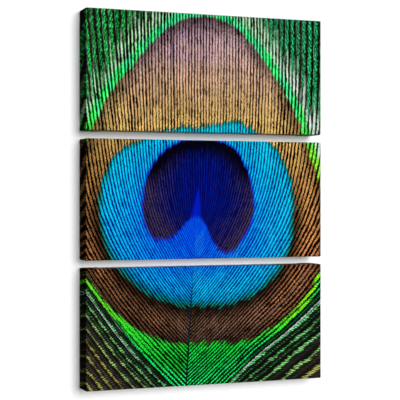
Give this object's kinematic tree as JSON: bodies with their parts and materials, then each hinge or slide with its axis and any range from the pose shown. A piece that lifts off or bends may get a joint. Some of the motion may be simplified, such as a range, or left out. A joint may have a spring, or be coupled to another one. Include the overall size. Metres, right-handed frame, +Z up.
{
  "type": "three-panel canvas print",
  "caption": "Wide canvas panels hung one above another, each a print wrapped round deep pine bars, with a sawtooth hanger behind; together they show a peacock feather's eye.",
  "frame": {"origin": "centre of the rear face of the middle panel's hanger, where it meets the wall", "axes": "+Z up, +X to the right of someone who looks at the picture, +Y into the wall; the picture faces -Y"},
  "size_m": [0.4064, 0.0411, 0.597],
  "materials": {
    "printed_canvas": "plain-woven cotton and polyester canvas, primed white and printed in ink with a satin coat: black, bronze, green, turquoise and royal blue barbs; cream and bare on its reverse",
    "pine": "planed softwood, unfinished, straight grain with a few small knots",
    "hanger_steel": "thin pressed steel strip, bright zinc plate",
    "nail_steel": "bright wire nails with low round heads, and bright wire staples",
    "bumper_rubber": "soft black rubber, matt"
  },
  "bodies": {
    "root": {"lower_canvas": "printed_canvas", "lower_bar_bottom": "pine", "lower_bar_top": "pine", "lower_bar_left": "pine", "lower_bar_right": "pine", "lower_hanger": "hanger_steel", "lower_nail_left": "nail_steel", "lower_nail_right": "nail_steel", "lower_bumper_left": "bumper_rubber", "lower_bumper_right": "bumper_rubber", "middle_canvas": "printed_canvas", "middle_bar_bottom": "pine", "middle_bar_top": "pine", "middle_bar_left": "pine", "middle_bar_right": "pine", "middle_hanger": "hanger_steel", "middle_nail_left": "nail_steel", "middle_nail_right": "nail_steel", "middle_bumper_left": "bumper_rubber", "middle_bumper_right": "bumper_rubber", "upper_canvas": "printed_canvas", "upper_bar_bottom": "pine", "upper_bar_top": "pine", "upper_bar_left": "pine", "upper_bar_right": "pine", "upper_hanger": "hanger_steel", "upper_nail_left": "nail_steel", "upper_nail_right": "nail_steel", "upper_bumper_left": "bumper_rubber", "upper_bumper_right": "bumper_rubber"}
  },
  "joints": []
}
